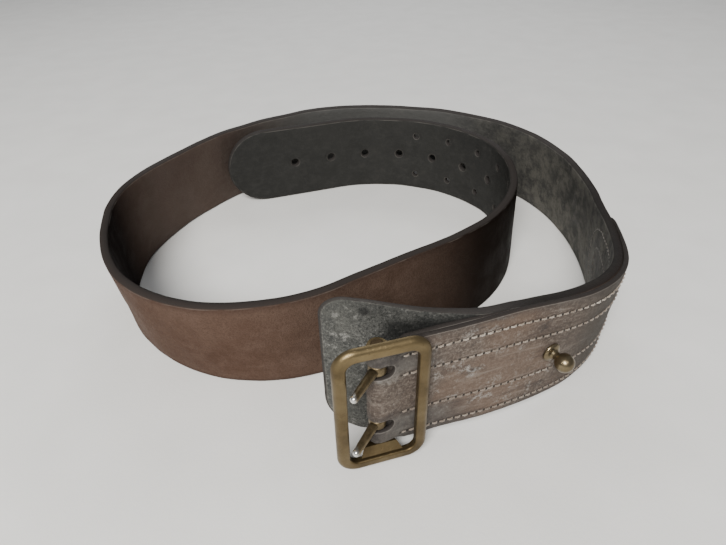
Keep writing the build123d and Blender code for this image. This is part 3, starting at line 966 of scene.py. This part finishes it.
def pressed_rows(shader, station, up):
    """(groove, hole) masks of every stitched row."""
    in_range = shader.levels(station, (ROW_START - 1) * MM, (ROW_START + 1) * MM)
    grooves, holes = 0.0, 0.0
    for radius, middle in STITCH_ROWS:
        from_middle = shader.minus(up, middle * MM)
        distance, along_row = stitch_distance(shader, station, from_middle, radius)
        groove = shader.times(shader.levels(distance, 0.0013, 0.0003), in_range)
        total = 2 * (CHAPE_END - HALF_WIDTH - ROW_START) + pi * radius
        count = round(total / STITCH_PITCH)
        pitch = total / count * MM
        # with an even count a hole falls on the row's middle
        shift = 0.5 if count % 2 == 0 else 0.0
        phase = shader.math("FRACT", shader.plus(shader.math("DIVIDE", along_row, pitch), shift))
        off_hole = shader.times(shader.absolute(shader.minus(phase, 0.5)), pitch)
        gap = shader.length(off_hole, distance)
        hole = shader.times(shader.levels(gap, 0.0007, 0.0003), in_range)
        grooves = shader.plus(grooves, groove)
        holes = shader.plus(holes, hole)
    return grooves, holes


def dry_taupe(shader, clouds, mottle, creases, fine):
    """The chape's own colour, with warm patches and streaks along it."""
    colour = shader.ramp(clouds, (0.30, 0.50, 0.70), TAUPES)
    colour = shader.blend(shader.levels(mottle, 0.46, 0.30, 0.0, 0.75), colour, TAUPE_MOTTLE)
    colour = shader.blend(shader.levels(creases, 0.50, 0.34, 0.0, 0.60), colour, TAUPE_CREASE)
    colour = shader.blend(shader.levels(fine, 0.50, 0.62, 0.0, 0.42), colour, TAUPE_FLECK)
    colour = shader.blend(shader.levels(fine, 0.50, 0.38, 0.0, 0.45), colour, TAUPE_SPECK)
    warm = shader.levels(shader.noise(26.0, 3.0, 0.5), 0.46, 0.60, 0.0, 0.55)
    colour = shader.blend(warm, colour, TAUPE_WARM)
    streaks = shader.noise(1.0, 5.0, 0.62, shader.stretched(34, 300))
    pale_streaks = shader.levels(streaks, 0.54, 0.70, 0.0, 0.55)
    colour = shader.blend(pale_streaks, colour, TAUPE_PALE_STREAK)
    dark_streaks = shader.levels(streaks, 0.46, 0.32, 0.0, 0.60)
    return shader.blend(dark_streaks, colour, TAUPE_DARK_STREAK)


def chape_wear(shader, colour, station, up, mottle, fine):
    """Pale bloom, stains, grime by the pin and along the edges, and painted shade towards the free
    end.
    """
    # pale dried dressing, mostly next to the frame
    bloom = shader.times(shader.levels(shader.noise(120.0, 7.0, 0.8), 0.51, 0.66),
                         shader.levels(fine, 0.38, 0.58))
    patchy = shader.levels(shader.noise(24.0, 3.0, 0.5), 0.42, 0.62, 0.12, 0.60)
    by_frame = shader.band(station, (0.014, 0.022), (0.048, 0.030))
    whiter = shader.plus(patchy, shader.times(by_frame, 0.55), clamp=True)
    colour = shader.over(colour, bloom, whiter, BLOOM)
    stains = shader.levels(shader.noise(48.0, 6.0, 0.75), 0.57, 0.70)
    colour = shader.over(colour, stains, 0.7, STAIN)
    # greyer round the pin and below it, less so on the tongue between the claws
    by_pin = shader.levels(shader.plus(station, shader.times(up, 0.45)), 0.036, 0.014)
    off_tongue = shader.levels(shader.absolute(up), 0.006, 0.014, 0.10, 1.0)
    grime = shader.blend(shader.levels(mottle, 0.38, 0.62), PIN_GRIME_DARK, PIN_GRIME_PALE)
    colour = shader.over(colour, shader.times(by_pin, off_tongue), 0.75, grime)
    # painted shade: darker towards the chape's free end
    near_end = shader.levels(station, 0.066, 0.098)
    colour = shader.over(colour, near_end, 0.80, FREE_END_PAINTED_SHADE)
    uneven_edge = shader.plus(shader.absolute(up), shader.times(mottle, 0.008))
    soiled_edge = shader.levels(uneven_edge, 0.0245, 0.0295)
    return shader.over(colour, soiled_edge, 0.6, SOILED_EDGE)


def chape_leather():
    """Dry taupe leather with pale bloom, fine cracks and pressed stitch lines."""
    shader = Shader("chape_leather")
    run, up = shader.strap_place()
    station = shader.minus(run, FOLD_RADIUS * pi / 2 * MM)
    clouds = shader.noise(30.0, 6.0, 0.66)
    mottle = shader.noise(120.0, 6.0, 0.75)
    fine = shader.noise(900.0, 4.0, 0.78)
    creases = shader.noise(1.0, 6.0, 0.72, shader.stretched(130, 330))
    colour = dry_taupe(shader, clouds, mottle, creases, fine)
    colour = chape_wear(shader, colour, station, up, mottle, fine)
    grooves, holes = pressed_rows(shader, station, up)
    colour = shader.over(colour, grooves, 0.30, GROOVE)
    colour = shader.over(colour, holes, 0.85, THREAD_HOLE)
    rim = shader.attribute("rim")
    colour = shader.over(colour, shader.levels(rim, 0.25, 0.8), 0.9, CHAPE_EDGE)
    arris = shader.band(rim, (0.02, 0.2), (0.5, 0.25))
    colour = shader.over(colour, arris, 0.4, CHAPE_ARRIS)

    cracks = shader.levels(shader.cells(330.0, "DISTANCE_TO_EDGE"), 0.0, 0.08)
    height = shader.plus(shader.times(cracks, 0.25), fine)
    height = shader.plus(height, shader.times(creases, 0.8))
    height = shader.minus(height, shader.times(shader.plus(grooves, holes), 0.9))
    broad = shader.bump(clouds, 0.4, 0.0015)
    normal = shader.bump(height, 0.65, 0.0004, broad)
    roughness = shader.levels(mottle, 0.3, 0.7, 0.62, 0.86)
    return shader.finish(colour, roughness, normal, Specular_IOR_Level=0.30)


def waxed_thread():
    """Cream thread, grubbier lower down and grey on the flesh side."""
    shader = Shader("waxed_thread")
    dirt = shader.noise(95.0, 6.0, 0.7)
    colour = shader.ramp(dirt, (0.36, 0.50, 0.66), THREADS)
    lower = shader.levels(shader.part_of_position("Z"), 0.052, 0.036, 0.0, 0.60)
    colour = shader.blend(lower, colour, THREAD_GRUBBY)
    colour = shader.over(colour, shader.attribute("soiled"), 0.80, THREAD_GREY)
    fibres = shader.noise(3500.0, 2.0, 0.6)
    normal = shader.bump(fibres, 0.5, 0.0001)
    return shader.finish(colour, 0.72, normal, Sheen_Weight=0.3)


# -------------------- metal materials
def antique_brass(name, dark, middle, bright, rough, seed, rubbed_and_lit_from):
    """Old brass: brown-green patina with pits and scratches, rubbed brighter above a height, which
    is partly a painted highlight.
    """
    shader = Shader(name)
    where = shader.moved(shader.position(), "Location", (seed, seed * 0.7, seed * 0.3))
    patina = shader.noise(60.0, 7.0, 0.66, where)
    spots = shader.noise(1000.0, 4.0, 0.7, where)
    colour = shader.ramp(patina, (0.28, 0.50, 0.74), (dark, middle, bright))
    # rubbed wear and painted highlight: brighter above a height
    rubbed = shader.levels(shader.part_of_position("Z"), rubbed_and_lit_from, rubbed_and_lit_from + 0.005,
                           0.0, 0.35)
    colour = shader.blend(rubbed, colour, tuple(1.5 * share for share in bright))
    pits = shader.levels(spots, 0.58, 0.70)
    colour = shader.over(colour, pits, 0.5, dark)
    scratches = shader.noise(1.0, 2.0, 0.5, shader.moved(where, "Scale", (2600, 2600, 220)))
    height = shader.minus(shader.times(scratches, 0.35), pits)
    broad = shader.bump(patina, 0.25, 0.0006)
    normal = shader.bump(height, 0.35, 0.00012, broad)
    rough_low, rough_high = rough
    roughness = shader.levels(patina, 0.3, 0.72, rough_high, rough_low)
    return shader.finish(colour, roughness, normal, Metallic=0.92)


def claw_metal():
    """Dark bronze claws whose tips are rubbed silvery."""
    shader = Shader("claw_metal")
    patina = shader.noise(400.0, 5.0, 0.6)
    colour = shader.ramp(patina, (0.3, 0.7), CLAW_BRONZES)
    reach = shader.minus(PIN_X * MM, shader.part_of_position("X"))
    uneven_reach = shader.plus(reach, shader.times(patina, 0.0015))
    tip = shader.levels(uneven_reach, 0.0108, 0.0128)
    colour = shader.blend(tip, colour, CLAW_TIP)
    roughness = shader.minus(0.42, shader.times(tip, 0.18))
    normal = shader.bump(shader.noise(1500.0, 3.0), 0.25, 0.0001)
    return shader.finish(colour, roughness, normal, Metallic=0.95)


def dull_steel():
    """The screw's and washer's nickelled steel, spotted with age."""
    shader = Shader("dull_steel")
    spots = shader.noise(700.0, 5.0, 0.65)
    colour = shader.ramp(spots, (0.35, 0.6), STEELS)
    normal = shader.bump(spots, 0.3, 0.0001)
    roughness = shader.levels(spots, 0.3, 0.7, 0.6, 0.35)
    return shader.finish(colour, roughness, normal, Metallic=0.9)


def dress(piece, material, slot_name):
    """Gives a piece one material; its slot name is not used."""
    piece.data.materials.clear()
    piece.data.materials.append(material)


# -------------------- stage
def pale_floor():
    shader = Shader("pale_floor")
    soft = shader.noise(30.0, 4.0, 0.5)
    colour = shader.ramp(soft, (0.3, 0.7), FLOOR_COLOURS)
    normal = shader.bump(shader.noise(600.0, 3.0), 0.15, 0.0004)
    return shader.finish(colour, 0.85, normal)


def make_floor():
    mesh = bpy.data.meshes.new("floor")
    half, height = FLOOR_HALF_SIZE, FLOOR_HEIGHT
    corners = [(-half, -half, height), (half, -half, height), (half, half, height),
               (-half, half, height)]
    mesh.from_pydata(corners, [], [(0, 1, 2, 3)])
    floor = add_object("floor", mesh)
    mesh.materials.append(pale_floor())


def area_light(name, where, size, watts, colour):
    """A round soft light that looks at the middle of the belt."""
    lamp = bpy.data.lights.new(name, "AREA")
    lamp.shape = "DISK"
    lamp.size = size
    lamp.energy = watts
    lamp.color = colour
    light = add_object(name, lamp)
    light.location = where
    to_belt = Vector(LIGHT_TARGET) - Vector(where)
    light.rotation_euler = to_belt.to_track_quat("-Z", "Y").to_euler()


def make_light():
    world = bpy.data.worlds.new("studio")
    world.use_nodes = True
    sky = world.node_tree.nodes["Background"]
    sky.inputs["Color"].default_value = (*SKY_COLOUR, 1)
    sky.inputs["Strength"].default_value = SKY_STRENGTH
    bpy.context.scene.world = world
    for light in AREA_LIGHTS:
        area_light(*light)


def make_camera():
    data = bpy.data.cameras.new("camera")
    data.sensor_width = CAMERA_SENSOR
    data.lens = CAMERA_LENS
    data.clip_start = CAMERA_NEAREST
    camera = add_object("camera", data)
    turn = Euler((radians(90 - CAMERA_DOWN), 0, radians(CAMERA_TURN))).to_matrix().to_4x4()
    roll = Matrix.Rotation(radians(CAMERA_ROLL), 4, "Z")
    camera.matrix_world = Matrix.Translation(Vector(CAMERA_PLACE) * MM) @ turn @ roll
    bpy.context.scene.camera = camera


# -------------------- the belt
def main():
    make_floor()
    make_light()
    make_camera()

    strap = make_strap()
    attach(strap, "belt")
    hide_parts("strap")
    dress(strap, strap_leather(), "strap_leather")

    chape = make_chape()
    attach(chape, "belt")
    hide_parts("chape")
    dress(chape, chape_leather(), "chape_leather")

    thread = waxed_thread()
    for name, (radius, middle) in zip(("outer_stitching", "inner_stitching"), STITCH_ROWS):
        stitches = make_stitches(name + "_thread", radius, middle)
        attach(stitches, "belt")
        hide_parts(name)
        dress(stitches, thread, "thread")

    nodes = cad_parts
    frame_brass = antique_brass("frame_brass", *FRAME_BRASS, (0.30, 0.50), 0.0, FRAME_RUBBED_AND_LIT_FROM)
    pin_brass = antique_brass("pin_brass", *PIN_BRASS, (0.45, 0.60), 3.0, NOWHERE)
    stud_brass = antique_brass("stud_brass", *STUD_BRASS, (0.20, 0.36), 7.0, NOWHERE)
    claws = claw_metal()
    steel = dull_steel()
    for name, material, slot_name in (
            ("buckle_frame", frame_brass, "frame_brass"), ("centre_pin", pin_brass, "pin_brass"),
            ("upper_claw", claws, "claw_metal"), ("lower_claw", claws, "claw_metal"),
            ("ball_stud", stud_brass, "stud_brass"), ("stud_washer", steel, "screw_steel"),
            ("stud_screw", steel, "screw_steel")):
        dress(nodes[name], material, slot_name)


main()
